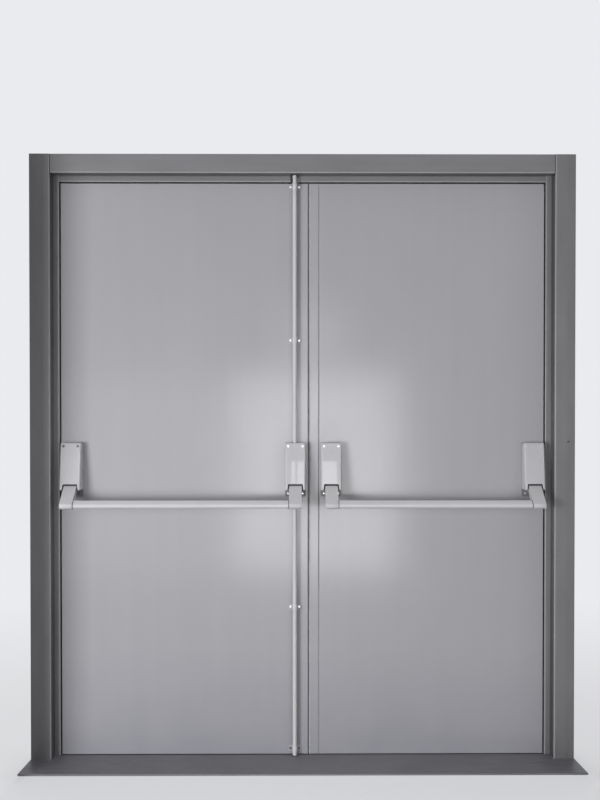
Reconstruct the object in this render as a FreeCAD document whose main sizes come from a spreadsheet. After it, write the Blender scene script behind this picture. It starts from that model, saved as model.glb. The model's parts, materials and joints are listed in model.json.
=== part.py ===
import FreeCAD, Part
import os
import re
import Sketcher
from math import pi
from FreeCAD import Placement, Rotation, Vector

# A double-leaf steel exit door: a folded steel frame on a rebated threshold, two hollow
# leaves that swing away from the push side, and a push bar on each leaf.
# X runs along the wall, Y from the push side to the far side, Z up. Sizes are in mm.

# Driving sizes, each one written once.
DRIVING = {
    # frame, folded from one sheet
    "frame_width": 2000,
    "frame_height": 2227,
    "frame_depth": 90,
    "frame_sheet": 2,
    "jamb_face": 75,
    "head_face": 69.5,
    "stop_face": 24,
    "return_depth": 50,
    "lip_depth": 15,
    "bend_radius": 3,
    # threshold
    "sill_height": 6,
    "sill_front": 151,
    "sill_flare": 11,
    "sill_shelf": 2,
    "sill_edge_gap": 5,
    "socket_clearance": 2.5,
    "socket_depth": 4,
    # leaves
    "leaf_gap": 5,
    "leaf_floor_gap": 5,
    "leaf_recess": 2.5,
    "leaf_sheet": 1.5,
    "leaf_edge_radius": 2,
    "flange_overlap": 27,
    "flange_gap": 5,
    "flange_depth": 20,
    "lip_bearing": 8,
    "meeting_offset": 23,
    "meeting_gap": 7,
    "edge_lap": 1.5,
    "strip_width": 32,
    "strip_groove": 2,
    # seals
    "seal_inset": 6,
    "seal_width": 10,
    "seal_gap": 0.4,
    "meeting_seal_depth": 12,
    # lift-off hinges on the far side
    "hinge_offset": 15.5,
    "hinge_setback": 7,
    "hinge_low": 240,
    "hinge_pitch": 1520,
    "knuckle_radius": 10,
    "knuckle_length": 60,
    "knuckle_gap": 2,
    "hinge_tab": 8,
    "pin_radius": 5,
    "pin_clearance": 0.1,
    "pin_end_gap": 4,
    # wall straps across the open back of the jambs
    "strap_low": 320,
    "strap_pitch": 780,
    "strap_height": 40,
    "strap_sheet": 3,
    "strap_hole_radius": 5.5,
    # push bar devices, placed from the axle that the arm turns on
    "outer_margin": 42.5,
    "left_inner_margin": 47,
    "right_inner_margin": 44.5,
    "pivot_height": 1006,
    "pivot_depth": 40,
    "axle_radius": 5,
    "axle_clearance": 0.1,
    "arm_width": 46,
    "arm_tilt": 54,
    "arm_length": 92.5,
    "arm_wall": 2.5,
    "bar_long": 34,
    "bar_thick": 18,
    "bar_wall": 2,
    "bar_socket_depth": 18,
    "bar_socket_clearance": 0.2,
    "lug_sheet": 5,
    "lug_clearance": 5.5,
    "base_sheet": 4,
    "base_drop": 37.5,
    "base_corner": 7,
    "cover_wall": 4,
    "cover_radius": 7,
    "cover_drop": 8.5,
    "cover_rise": 164,
    "cover_side_gap": 1,
    "cover_front_gap": 3.5,
    "cover_top_depth": 36,
    "mouth_clearance": 3.5,
    "mouth_rise": 13,
    "ear_foot": 8.5,
    # latch rods of the left leaf
    "rod_radius": 7.5,
    "rod_shift": 2,
    "rod_arm_gap": 3,
    "rod_tip_gap": 2,
    "rod_tip_chamfer": 1.5,
    "rod_sill_gap": 2,
    "lower_rod_rise": 19.5,
    "rod_end_spacing": 40,
    "rod_slot_clearance": 1.5,
    "keeper_clearance": 8,
    "keeper_sheet": 2,
    "guide_width": 46,
    "guide_height": 22,
    "guide_sheet": 3,
    "guide_wall": 1,
    "guide_clearance": 0.3,
    "guide_top_drop": 53.5,
    "guide_upper_rise": 531,
    "guide_lower_drop": 459,
    "guide_foot_rise": 12.5,
}

# Sizes that follow from the driving ones.
LAYOUT = {
    "frame_half": "frame_width / 2",
    "jamb_inner": "frame_half - jamb_face",
    "opening_half": "jamb_inner - stop_face",
    "soffit": "frame_height - head_face",
    "opening_top": "soffit - stop_face",
    "leaf_outer": "opening_half - leaf_gap",
    "leaf_top": "opening_top - leaf_gap",
    "leaf_bottom": "sill_shelf + leaf_floor_gap",
    "leaf_front": "return_depth + leaf_recess",
    "flange_front": "frame_depth + flange_gap",
    "leaf_back": "flange_front + flange_depth",
    "flange_outer": "opening_half + flange_overlap",
    "flange_top": "opening_top + flange_overlap",
    "left_edge": "meeting_offset - meeting_gap / 2",
    "right_edge": "meeting_offset + meeting_gap / 2",
    "strip_end": "right_edge + strip_width",
    "right_skin": "strip_end + strip_groove",
    "seal_front": "frame_depth + flange_gap - seal_gap",
    "hinge_x": "flange_outer + hinge_offset",
    "hinge_y": "leaf_back - hinge_setback",
    "left_outer_centre": "outer_margin - leaf_outer",
    "left_inner_centre": "left_edge - left_inner_margin",
    "right_inner_centre": "right_skin + right_inner_margin",
    "right_outer_centre": "leaf_outer - outer_margin",
    "pivot_y": "leaf_front - pivot_depth",
    "bar_offset": "(bar_long - bar_thick) / 2",
    "arm_radius": "bar_thick / 2 + arm_wall",
    "lug_inner": "arm_width / 2 + lug_clearance",
    "base_front": "leaf_front - base_sheet",
    "base_half": "lug_inner + lug_sheet + cover_side_gap + cover_wall",
    "base_bottom": "pivot_height - base_drop",
    "cover_bottom": "pivot_height - cover_drop",
    "cover_top": "pivot_height + cover_rise",
    "cover_top_front": "leaf_front - cover_top_depth",
    "cover_bottom_front": "pivot_y - arm_radius - cover_front_gap - cover_wall",
    "mouth_half": "arm_width / 2 + mouth_clearance",
    "mouth_top": "pivot_height + mouth_rise",
    "rod_x": "left_inner_centre - rod_shift",
    "rod_y": "pivot_y + arm_radius + rod_arm_gap + rod_radius",
    "lower_rod_foot": "sill_height + rod_sill_gap",
    "lower_rod_head": "pivot_height + lower_rod_rise",
    "upper_rod_foot": "lower_rod_head + rod_end_spacing",
    "upper_rod_head": "soffit - rod_tip_gap",
    "guide_top": "soffit - guide_top_drop",
    "guide_upper": "pivot_height + guide_upper_rise",
    "guide_lower": "pivot_height - guide_lower_drop",
    "guide_foot": "sill_height + guide_foot_rise",
    "keeper_half": "rod_radius + keeper_clearance",
    "keeper_outer": "keeper_half + keeper_sheet",
}

doc = FreeCAD.newDocument("double_exit_door")
SHEET_OF = {**dict.fromkeys(DRIVING, "dims"), **dict.fromkeys(LAYOUT, "layout")}
subparts = []


def qualified(text, own_sheet=None):
    """Puts the sheet's name in front of each size named in an expression."""
    def with_sheet(match):
        word = match.group()
        sheet = SHEET_OF.get(word, own_sheet)
        return word if sheet == own_sheet else f"{sheet}.{word}"
    return re.sub(r"[a-z][a-z_]+", with_sheet, text)


def make_sheet(name, cells):
    """Fills a spreadsheet with one aliased cell for each size."""
    sheet = doc.addObject("Spreadsheet::Sheet", name)
    for row, (alias, content) in enumerate(cells.items(), start=1):
        sheet.set(f"A{row}", content)
        sheet.setAlias(f"A{row}", alias)
    doc.recompute()
    return sheet


dims = make_sheet("dims", {alias: str(size) for alias, size in DRIVING.items()})
make_sheet("layout", {alias: "=" + qualified(text, "layout") for alias, text in LAYOUT.items()})


def value(text):
    """The present value of an expression, for first positions in a sketch."""
    return float(dims.evalExpression(qualified(text)))


def bind(feature, **expressions):
    """Ties properties of a feature to sizes in the sheets."""
    for name, text in expressions.items():
        feature.setExpression(name.replace("__", "."), qualified(text))


def start_body(label):
    body = doc.addObject("PartDesign::Body", label)
    body.Label = label
    return body


def keep(body, label=None):
    """Notes a finished piece that gets its own file."""
    body.Label = label or body.Label
    subparts.append(body)
    return body


def gather(label, bodies):
    """Keeps like pieces that do not touch as one named piece."""
    group = doc.addObject("Part::Compound", label)
    group.Links = bodies
    return keep(group, label)


# Sketch shapes

def pin_point(sketch, geometry, end, across, up):
    for kind, text in (("DistanceX", across), ("DistanceY", up)):
        index = sketch.addConstraint(Sketcher.Constraint(kind, -1, 1, geometry, end, value(text)))
        sketch.setExpression(f"Constraints[{index}]", qualified(text))


def set_radius(sketch, geometry, radius):
    index = sketch.addConstraint(Sketcher.Constraint("Radius", geometry, value(radius)))
    sketch.setExpression(f"Constraints[{index}]", qualified(radius))


def polygon(*corners):
    def draw(sketch):
        points = [Vector(value(across), value(up), 0) for across, up in corners]
        following = points[1:] + points[:1]
        lines = [sketch.addGeometry(Part.LineSegment(*ends)) for ends in zip(points, following)]
        for line, next_line, corner in zip(lines, lines[1:] + lines[:1], corners):
            sketch.addConstraint(Sketcher.Constraint("Coincident", line, 2, next_line, 1))
            pin_point(sketch, line, 1, *corner)
    return draw


def rectangle(left, right, low, high):
    return polygon((left, low), (right, low), (right, high), (left, high))


def circle(across, up, radius):
    def draw(sketch):
        centre = Vector(value(across), value(up), 0)
        ring = sketch.addGeometry(Part.Circle(centre, Vector(0, 0, 1), value(radius)))
        pin_point(sketch, ring, 3, across, up)
        set_radius(sketch, ring, radius)
    return draw


def half_circle(height, radius, turn):
    ring = Part.Circle(Vector(0, height, 0), Vector(0, 0, 1), radius)
    return Part.ArcOfCircle(ring, turn, turn + pi)


def slot(high, low, radius):
    """An upright slot on the sketch's own vertical axis, between two end centres."""
    def draw(sketch):
        size, upper, lower = value(radius), value(high), value(low)
        top, bottom = (sketch.addGeometry(half_circle(centre, size, turn))
                       for centre, turn in ((upper, 0), (lower, pi)))
        left = sketch.addGeometry(Part.LineSegment(Vector(-size, upper, 0), Vector(-size, lower, 0)))
        right = sketch.addGeometry(Part.LineSegment(Vector(size, lower, 0), Vector(size, upper, 0)))
        for before, after in ((top, left), (left, bottom), (bottom, right), (right, top)):
            sketch.addConstraint(Sketcher.Constraint("Tangent", before, 2, after, 1))
        for arc, centre in ((top, high), (bottom, low)):
            pin_point(sketch, arc, 3, "0", centre)
            set_radius(sketch, arc, radius)
    return draw


# Features: each pad or pocket runs from its start along +X, +Y or +Z

PLANES = {"X": "YZ_Plane", "Y": "XZ_Plane", "Z": "XY_Plane"}


def sketch_across(body, axis, start, shapes):
    plane = next(item for item in body.Origin.OriginFeatures if item.Role == PLANES[axis])
    sketch = body.newObject("Sketcher::SketchObject", f"{body.Name}_sketch")
    sketch.AttachmentSupport = [(plane, "")]
    sketch.MapMode = "FlatFace"
    bind(sketch, AttachmentOffset__Base__z=f"-({start})" if axis == "Y" else start)
    for draw in shapes:
        draw(sketch)
    return sketch


def pad(body, axis, start, length, *shapes):
    feature = body.newObject("PartDesign::Pad", f"{body.Name}_pad")
    feature.Profile = sketch_across(body, axis, start, shapes)
    feature.Reversed = axis == "Y"
    bind(feature, Length=length)
    doc.recompute()


def pocket(body, axis, start, length, *shapes):
    feature = body.newObject("PartDesign::Pocket", f"{body.Name}_pocket")
    feature.Profile = sketch_across(body, axis, start, shapes)
    feature.Reversed = axis != "Y"
    bind(feature, Length=length)
    doc.recompute()


def nearest_edges(shape, places):
    """Names of the edges whose middles lie nearest to the given places."""
    names = []
    for place in places:
        target = Vector(*(value(text) for text in place))
        distances = [edge.CenterOfMass.distanceToPoint(target) for edge in shape.Edges]
        names.append(f"Edge{distances.index(min(distances)) + 1}")
    return names


def fillet(body, radius, *places):
    base = body.Tip
    feature = body.newObject("PartDesign::Fillet", f"{body.Name}_fillet")
    feature.Base = (base, nearest_edges(base.Shape, places))
    bind(feature, Radius=radius)
    doc.recompute()


def chamfer(body, size, *places):
    base = body.Tip
    feature = body.newObject("PartDesign::Chamfer", f"{body.Name}_chamfer")
    feature.Base = (base, nearest_edges(base.Shape, places))
    bind(feature, Size=size)
    doc.recompute()


# Frame

def folded_outline(wall, step, edge, to_wall):
    """Corners of a folded frame section: wall lip, face, return, stop, far face, wall lip."""
    from_wall = {"+": "-", "-": "+"}[to_wall]
    wall_inside = f"{wall} {from_wall} frame_sheet"
    step_inside = f"{step} {to_wall} frame_sheet"
    edge_inside = f"{edge} {to_wall} frame_sheet"
    return (
        (wall, "lip_depth"),
        (wall, "0"),
        (step, "0"),
        (step, "return_depth"),
        (edge, "return_depth"),
        (edge, "frame_depth"),
        (wall, "frame_depth"),
        (wall, "frame_depth - lip_depth"),
        (wall_inside, "frame_depth - lip_depth"),
        (wall_inside, "frame_depth - frame_sheet"),
        (edge_inside, "frame_depth - frame_sheet"),
        (edge_inside, "return_depth + frame_sheet"),
        (step_inside, "return_depth + frame_sheet"),
        (step_inside, "frame_sheet"),
        (wall_inside, "frame_sheet"),
        (wall_inside, "lip_depth"),
    )


def jamb(label, side):
    to_wall = "+" if side == 1 else "-"
    wall, step, edge = (f"{side} * {name}" for name in ("frame_half", "jamb_inner", "opening_half"))
    body = start_body(label)
    outline = folded_outline(wall, step, edge, to_wall)
    pad(body, "Z", "sill_height", "frame_height - sill_height", polygon(*outline))
    middle = "(frame_height + sill_height) / 2"
    bends = ((wall, "0"), (step, "0"), (edge, "return_depth"), (edge, "frame_depth"), (wall, "frame_depth"))
    fillet(body, "bend_radius", *[(across, depth, middle) for across, depth in bends])
    return keep(body)


def head():
    """The head butts between the jambs and is notched for the upper rod."""
    body = start_body("head")
    corners = folded_outline("frame_height", "soffit", "opening_top", "+")
    pad(body, "X", "-jamb_inner", "2 * jamb_inner", polygon(*[(depth, up) for up, depth in corners]))
    bends = (("0", "frame_height"), ("0", "soffit"), ("return_depth", "opening_top"),
             ("frame_depth", "opening_top"), ("frame_depth", "frame_height"))
    fillet(body, "bend_radius", *[("0", depth, up) for depth, up in bends])
    behind_face = rectangle("return_depth", "frame_depth", "opening_top", "frame_height")
    for start in ("-jamb_inner", "opening_half"):
        pocket(body, "X", start, "stop_face", behind_face)
    pocket(body, "Y", "return_depth", "frame_depth - return_depth", rectangle(
        "rod_x - keeper_outer", "rod_x + keeper_outer",
        "opening_top", "soffit + keeper_sheet"))
    return keep(body)


def rod_keeper():
    """A folded channel that lines the notch behind the upper rod's tip."""
    body = start_body("rod_keeper")
    pad(body, "Y", "return_depth", "frame_depth - return_depth", polygon(
        ("-keeper_outer", "opening_top"),
        ("-keeper_half", "opening_top"),
        ("-keeper_half", "soffit"),
        ("keeper_half", "soffit"),
        ("keeper_half", "opening_top"),
        ("keeper_outer", "opening_top"),
        ("keeper_outer", "soffit + keeper_sheet"),
        ("-keeper_outer", "soffit + keeper_sheet")))
    bind(body, Placement__Base__x="rod_x")
    return keep(body)


def threshold():
    """A sill that flares to the front, with a rebate behind the leaves' lower edges and a rod socket."""
    body = start_body("threshold")
    pad(body, "Z", "0", "sill_height", polygon(
        ("-frame_half - sill_flare", "-sill_front"),
        ("frame_half + sill_flare", "-sill_front"),
        ("frame_half", "0"),
        ("frame_half", "leaf_back"),
        ("-frame_half", "leaf_back"),
        ("-frame_half", "0")))
    pocket(body, "Z", "sill_shelf", "sill_height - sill_shelf", polygon(
        ("-frame_half", "frame_depth"),
        ("-opening_half", "frame_depth"),
        ("-opening_half", "leaf_front - sill_edge_gap"),
        ("opening_half", "leaf_front - sill_edge_gap"),
        ("opening_half", "frame_depth"),
        ("frame_half", "frame_depth"),
        ("frame_half", "leaf_back"),
        ("-frame_half", "leaf_back")))
    pocket(body, "Z", "sill_height - socket_depth", "socket_depth",
           circle("rod_x", "rod_y", "rod_radius + socket_clearance"))
    fillet(body, "bend_radius", ("0", "-sill_front", "sill_height"))
    return keep(body)


def seal_strip(label, left, right, low, high):
    body = start_body(label)
    pad(body, "Y", "frame_depth", "seal_front - frame_depth", rectangle(left, right, low, high))
    return body


def frame_seal():
    """Soft strips on the frame's far face, broken where the upper rod passes."""
    side_inner = "opening_half + seal_inset"
    side_outer = "opening_half + seal_inset + seal_width"
    head_low = "opening_top + seal_inset"
    head_high = "opening_top + seal_inset + seal_width"
    gap = "seal_gap"
    strips = [
        seal_strip("seal_left", f"-({side_outer})", f"-({side_inner})", "sill_height", head_high),
        seal_strip("seal_right", side_inner, side_outer, "sill_height", head_high),
        seal_strip("seal_head_left", f"{gap} - ({side_inner})", "rod_x - keeper_outer",
                   head_low, head_high),
        seal_strip("seal_head_right", "rod_x + keeper_outer", f"{side_inner} - {gap}",
                   head_low, head_high),
    ]
    return gather("frame_seal", strips)


STRAP_ROWS = range(3)


def wall_straps(label, side):
    """Flat straps across the open back of a jamb, each with a hole for a wall anchor."""
    straps = []
    for row in STRAP_ROWS:
        body = start_body(f"{label}_{row}")
        start = "-(frame_half - frame_sheet)" if side == -1 else "frame_half - frame_sheet - strap_sheet"
        pad(body, "X", start, "strap_sheet",
            rectangle("frame_sheet", "frame_depth - frame_sheet", "-strap_height / 2", "strap_height / 2"),
            circle("frame_depth / 2", "0", "strap_hole_radius"))
        bind(body, Placement__Base__z=f"strap_low + {row} * strap_pitch")
        straps.append(body)
    return gather(label, straps)


# Hinges

HINGE_ROWS = range(2)


def hinge_pintles(label, side):
    """Frame halves: a knuckle on a tab welded to the frame, with a pin that stands up."""
    axis = f"{side} * hinge_x"
    halves = []
    for row in HINGE_ROWS:
        body = start_body(f"{label}_{row}")
        pad(body, "Z", "0", "knuckle_length", circle(axis, "hinge_y", "knuckle_radius"))
        pad(body, "Z", "0", "knuckle_length", rectangle(
            f"{axis} - hinge_tab / 2", f"{axis} + hinge_tab / 2", "frame_depth", "hinge_y"))
        pad(body, "Z", "knuckle_length", "knuckle_gap + knuckle_length - 2 * pin_end_gap",
            circle(axis, "hinge_y", "pin_radius"))
        bind(body, Placement__Base__z=f"hinge_low + {row} * hinge_pitch")
        halves.append(body)
    return gather(label, halves)


def hinge_barrels(label, side):
    """Leaf halves: a knuckle on a tab welded to the leaf's flange, bored for the pin."""
    axis = f"{side} * hinge_x"
    start = "knuckle_length + knuckle_gap"
    halves = []
    for row in HINGE_ROWS:
        body = start_body(f"{label}_{row}")
        pad(body, "Z", start, "knuckle_length", circle(axis, "hinge_y", "knuckle_radius"))
        pad(body, "Z", start, "knuckle_length", rectangle(
            f"{side} * flange_outer", axis, "hinge_y - hinge_tab / 2", "hinge_y + hinge_tab / 2"))
        pocket(body, "Z", start, "knuckle_length - pin_end_gap",
               circle(axis, "hinge_y", "pin_radius + pin_clearance"))
        bind(body, Placement__Base__z=f"hinge_low + {row} * hinge_pitch")
        halves.append(body)
    return gather(label, halves)


# Leaves

def front_tray(label, left, right):
    """A folded tray that shows on the push side, open towards the back skin."""
    body = start_body(label)
    pad(body, "Y", "leaf_front", "flange_front - leaf_front",
        rectangle(left, right, "leaf_bottom", "leaf_top"))
    middle_x = f"({left} + {right}) / 2"
    middle_z = "(leaf_bottom + leaf_top) / 2"
    fillet(body, "leaf_edge_radius",
           (left, "leaf_front", middle_z), (right, "leaf_front", middle_z),
           (middle_x, "leaf_front", "leaf_bottom"), (middle_x, "leaf_front", "leaf_top"))
    pocket(body, "Y", "leaf_front + leaf_sheet", "flange_front - leaf_front - leaf_sheet", rectangle(
        f"{left} + leaf_sheet", f"{right} - leaf_sheet",
        "leaf_bottom + leaf_sheet", "leaf_top - leaf_sheet"))
    return keep(body)


def back_skin(label, left, right, window_left, window_right):
    """A shallow pan that laps over the frame and carries the front tray on its inward lips."""
    body = start_body(label)
    pad(body, "Y", "flange_front", "flange_depth", rectangle(left, right, "leaf_bottom", "flange_top"))
    middle_x = f"({left} + {right}) / 2"
    middle_z = "(leaf_bottom + flange_top) / 2"
    fillet(body, "leaf_edge_radius",
           (left, "leaf_back", middle_z), (right, "leaf_back", middle_z),
           (middle_x, "leaf_back", "leaf_bottom"), (middle_x, "leaf_back", "flange_top"))
    pocket(body, "Y", "flange_front + leaf_sheet", "flange_depth - 2 * leaf_sheet", rectangle(
        f"{left} + leaf_sheet", f"{right} - leaf_sheet",
        "leaf_bottom + leaf_sheet", "flange_top - leaf_sheet"))
    pocket(body, "Y", "flange_front", "leaf_sheet", rectangle(
        window_left, window_right, "leaf_bottom + lip_bearing", "leaf_top - lip_bearing"))
    return keep(body)


def edge_seal(label, left, right, front, top):
    body = start_body(label)
    pad(body, "Z", "leaf_bottom", f"{top} - leaf_bottom",
        rectangle(left, right, front, f"{front} + meeting_seal_depth"))
    return body


def meeting_seal():
    """Two soft strips on the right leaf's edge, near the front and between the back skins."""
    back = "(flange_front + leaf_back - meeting_seal_depth) / 2"
    return gather("meeting_seal", [
        edge_seal("meeting_seal_front", "meeting_offset", "right_edge",
                  "leaf_front + leaf_edge_radius", "leaf_top"),
        edge_seal("meeting_seal_back", "left_edge + edge_lap + seal_gap", "right_edge - edge_lap",
                  back, "flange_top"),
    ])


# Push bar devices, each drawn about its own centre line

def base_plate(label, centre):
    """A plate on the leaf with two lugs and the axle that the arm turns on."""
    body = start_body(label)
    pad(body, "Y", "base_front", "base_sheet",
        rectangle("-base_half", "base_half", "base_bottom", "cover_top"))
    fillet(body, "base_corner", *[
        (across, "base_front + base_sheet / 2", up)
        for across in ("-base_half", "base_half") for up in ("base_bottom", "cover_top")])
    lug = rectangle("pivot_y - arm_radius", "base_front",
                    "cover_bottom", "pivot_height + arm_radius")
    for start in ("-lug_inner - lug_sheet", "lug_inner"):
        pad(body, "X", start, "lug_sheet", lug)
    pad(body, "X", "-lug_inner", "2 * lug_inner", circle("pivot_y", "pivot_height", "axle_radius"))
    bind(body, Placement__Base__x=centre)
    return keep(body)


def cover(label, centre, with_rod=False):
    """A hollow wedge-shaped cover with a fork mouth that the arm comes out of."""
    body = start_body(label)
    pad(body, "X", "-base_half", "2 * base_half", polygon(
        ("base_front", "cover_bottom"), ("cover_bottom_front", "cover_bottom"),
        ("cover_top_front", "cover_top"), ("base_front", "cover_top")))
    middle_front = "(cover_top_front + cover_bottom_front) / 2"
    middle_top = "(cover_top_front + base_front) / 2"
    middle_up = "(cover_bottom + cover_top) / 2"
    fillet(body, "cover_radius",
           ("-base_half", middle_front, middle_up), ("base_half", middle_front, middle_up),
           ("-base_half", middle_top, "cover_top"), ("base_half", middle_top, "cover_top"),
           ("0", "cover_top_front", "cover_top"))
    pocket(body, "X", "cover_wall - base_half", "2 * (base_half - cover_wall)", polygon(
        ("base_front", "cover_bottom"), ("cover_bottom_front + cover_wall", "cover_bottom"),
        ("cover_top_front + cover_wall", "cover_top - cover_wall"),
        ("base_front", "cover_top - cover_wall")))
    pocket(body, "Y", "cover_bottom_front", "base_front - cover_bottom_front", polygon(
        ("ear_foot - base_half", "cover_bottom"), ("base_half - ear_foot", "cover_bottom"),
        ("mouth_half", "mouth_top"), ("-mouth_half", "mouth_top")))
    if with_rod:
        reach = "rod_radius + rod_slot_clearance"
        pocket(body, "Z", "cover_top - cover_wall", "cover_wall", rectangle(
            f"-rod_shift - ({reach})", f"{reach} - rod_shift", f"rod_y - ({reach})", "base_front"))
    bind(body, Placement__Base__x=centre)
    return keep(body)


def hang_on_pivot(body, centre):
    """Turns a piece drawn hanging straight down about the pivot to the rest position."""
    body.Placement = Placement(Vector(), Rotation(Vector(1, 0, 0), -value("arm_tilt")))
    bind(body, Placement__Base__x=centre, Placement__Base__y="pivot_y", Placement__Base__z="pivot_height",
         Placement__Rotation__Angle="-arm_tilt")


def arm(label, centre, bar_side):
    """A lever with a bore for the axle and a socket for one end of the bar."""
    body = start_body(label)
    pad(body, "X", "-arm_width / 2", "arm_width", slot("0", "-arm_length - bar_offset", "arm_radius"))
    pocket(body, "X", "-arm_width / 2", "arm_width", circle("0", "0", "axle_radius + axle_clearance"))
    start = "arm_width / 2 - bar_socket_depth" if bar_side == 1 else "-arm_width / 2"
    pocket(body, "X", start, "bar_socket_depth", slot(
        "bar_offset - arm_length", "-bar_offset - arm_length", "bar_thick / 2 + bar_socket_clearance"))
    hang_on_pivot(body, centre)
    return keep(body)


def bar_tube(label, left_centre, right_centre):
    """An oval tube seated in the sockets of both arms."""
    body = start_body(label)
    seat = "arm_width / 2 - bar_socket_depth"
    pad(body, "X", seat, f"({right_centre}) - ({left_centre}) - 2 * ({seat})",
        slot("bar_offset - arm_length", "-bar_offset - arm_length", "bar_thick / 2"),
        slot("bar_offset - arm_length", "-bar_offset - arm_length", "bar_thick / 2 - bar_wall"))
    hang_on_pivot(body, left_centre)
    return keep(body)


# Latch rods of the left leaf

def rod(label, low, high, tip):
    """A round rod with a bevelled outer tip."""
    body = start_body(label)
    pad(body, "Z", low, f"{high} - {low}", circle("0", "0", "rod_radius"))
    chamfer(body, "rod_tip_chamfer", ("0", "0", tip))
    bind(body, Placement__Base__x="rod_x", Placement__Base__y="rod_y")
    return keep(body)


def rod_guide(label, low):
    """A saddle on the leaf with a bored nose that the rod slides in."""
    body = start_body(label)
    nose = "rod_radius + guide_clearance + guide_wall"
    pad(body, "Z", low, "guide_height", rectangle(
        "-guide_width / 2", "guide_width / 2", "leaf_front - guide_sheet", "leaf_front"))
    pad(body, "Z", low, "guide_height", rectangle(f"-({nose})", nose, "rod_y", "leaf_front - guide_sheet"))
    pad(body, "Z", low, "guide_height", circle("0", "rod_y", nose))
    pocket(body, "Z", low, "guide_height", circle("0", "rod_y", "rod_radius + guide_clearance"))
    bind(body, Placement__Base__x="rod_x")
    return body


def build_frame():
    jamb("jamb_left", -1)
    jamb("jamb_right", 1)
    head()
    rod_keeper()
    threshold()
    frame_seal()
    wall_straps("wall_straps_left", -1)
    wall_straps("wall_straps_right", 1)
    hinge_pintles("hinge_pintles_left", -1)
    hinge_pintles("hinge_pintles_right", 1)


def build_left_leaf():
    front_tray("left_leaf_front", "-leaf_outer", "left_edge")
    back_skin("left_leaf_back", "-flange_outer", "left_edge + edge_lap",
              "lip_bearing - leaf_outer", "left_edge - lip_bearing")
    hinge_barrels("hinge_barrels_left", -1)
    gather("rod_guides", [rod_guide(name, name) for name in (
        "guide_top", "guide_upper", "guide_lower", "guide_foot")])
    rod("upper_rod", "upper_rod_foot", "upper_rod_head", tip="upper_rod_head")
    rod("lower_rod", "lower_rod_foot", "lower_rod_head", tip="lower_rod_foot")


def build_right_leaf():
    front_tray("right_leaf_front", "right_skin", "leaf_outer")
    front_tray("right_edge_strip", "right_edge", "strip_end")
    back_skin("right_leaf_back", "right_edge - edge_lap", "flange_outer",
              "right_skin + lip_bearing", "leaf_outer - lip_bearing")
    meeting_seal()
    hinge_barrels("hinge_barrels_right", 1)


def build_push_bar(side, left_name, right_name):
    centres = {}
    for name, bar_side in ((left_name, 1), (right_name, -1)):
        centre = f"{side}_{name}_centre"
        base_plate(f"{side}_{name}_base", centre)
        cover(f"{side}_{name}_housing", centre, with_rod=(side, name) == ("left", "inner"))
        arm(f"{side}_{name}_arm", centre, bar_side)
        centres[name] = centre
    bar_tube(f"{side}_push_bar", centres[left_name], centres[right_name])


def write_parts():
    """Stops on any broken feature, then writes one file for each piece."""
    doc.recompute()
    for item in doc.Objects:
        if {"Invalid", "Error"} & set(item.State):
            raise RuntimeError(f"{item.Label} is {item.State}")
    os.makedirs("parts", exist_ok=True)
    for piece in subparts:
        if piece.Shape.isNull() or not piece.Shape.isValid():
            raise RuntimeError(f"{piece.Label} has no valid shape")
        piece.Shape.exportStep(f"parts/{piece.Label}.step")


build_frame()
build_left_leaf()
build_right_leaf()
build_push_bar("left", "outer", "inner")
build_push_bar("right", "inner", "outer")
write_parts()
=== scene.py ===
import json
from math import cos, pi, radians, sin

import bmesh
import bpy
from mathutils import Matrix, Vector

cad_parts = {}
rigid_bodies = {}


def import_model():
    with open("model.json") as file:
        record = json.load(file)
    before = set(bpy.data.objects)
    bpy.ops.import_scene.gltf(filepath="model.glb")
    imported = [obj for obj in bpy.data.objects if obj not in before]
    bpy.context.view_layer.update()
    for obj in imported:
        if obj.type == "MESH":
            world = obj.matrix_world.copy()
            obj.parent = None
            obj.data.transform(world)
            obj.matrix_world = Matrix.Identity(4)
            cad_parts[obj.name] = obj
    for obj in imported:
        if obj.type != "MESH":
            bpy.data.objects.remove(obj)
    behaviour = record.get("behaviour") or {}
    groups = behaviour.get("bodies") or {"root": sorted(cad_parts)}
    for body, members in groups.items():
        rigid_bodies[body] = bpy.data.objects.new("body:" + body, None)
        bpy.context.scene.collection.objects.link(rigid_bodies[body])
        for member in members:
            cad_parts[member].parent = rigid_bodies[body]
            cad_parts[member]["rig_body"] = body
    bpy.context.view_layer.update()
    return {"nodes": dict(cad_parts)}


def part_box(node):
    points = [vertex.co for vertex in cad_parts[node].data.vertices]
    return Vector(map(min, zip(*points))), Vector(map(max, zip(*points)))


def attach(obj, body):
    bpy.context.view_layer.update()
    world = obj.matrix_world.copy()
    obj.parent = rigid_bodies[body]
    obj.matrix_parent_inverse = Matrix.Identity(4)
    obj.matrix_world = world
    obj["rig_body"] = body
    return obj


# Looks of a double-leaf steel exit door: paint, metal and rubber, small fasteners, light and camera.
# The frame gives every place. Sizes are in metres: X along the door, Y away from the push side, Z up.

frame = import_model()
NODES = frame["nodes"]
DEVICES = ("left_outer", "left_inner", "right_inner", "right_outer")

# Camera, fitted to the photograph, with its turns in degrees
CAMERA_PLACE = (-0.035, -3.9, 1.383)
CAMERA_YAW = 0.36
CAMERA_PITCH = -0.81
LENS = 47.9

# Small fasteners
COVER_SCREW_RADIUS = 0.0048
COVER_SCREW_SPREAD = 0.0264
COVER_SCREW_DROP = 0.0122
BASE_SCREW_RADIUS = 0.0041
BASE_SCREW_RISE = 0.012
GUIDE_SCREW_RADIUS = 0.0046
GUIDE_SCREW_SPREAD = 0.0158
PLUG_RADIUS = 0.0045
PLUG_PLACE = (0.975, 1.1745)

# Degrees that a screw is turned for each letter of its name and each metre along the door
TURN_BY_NAME = 37
TURN_BY_PLACE = 1000

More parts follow.
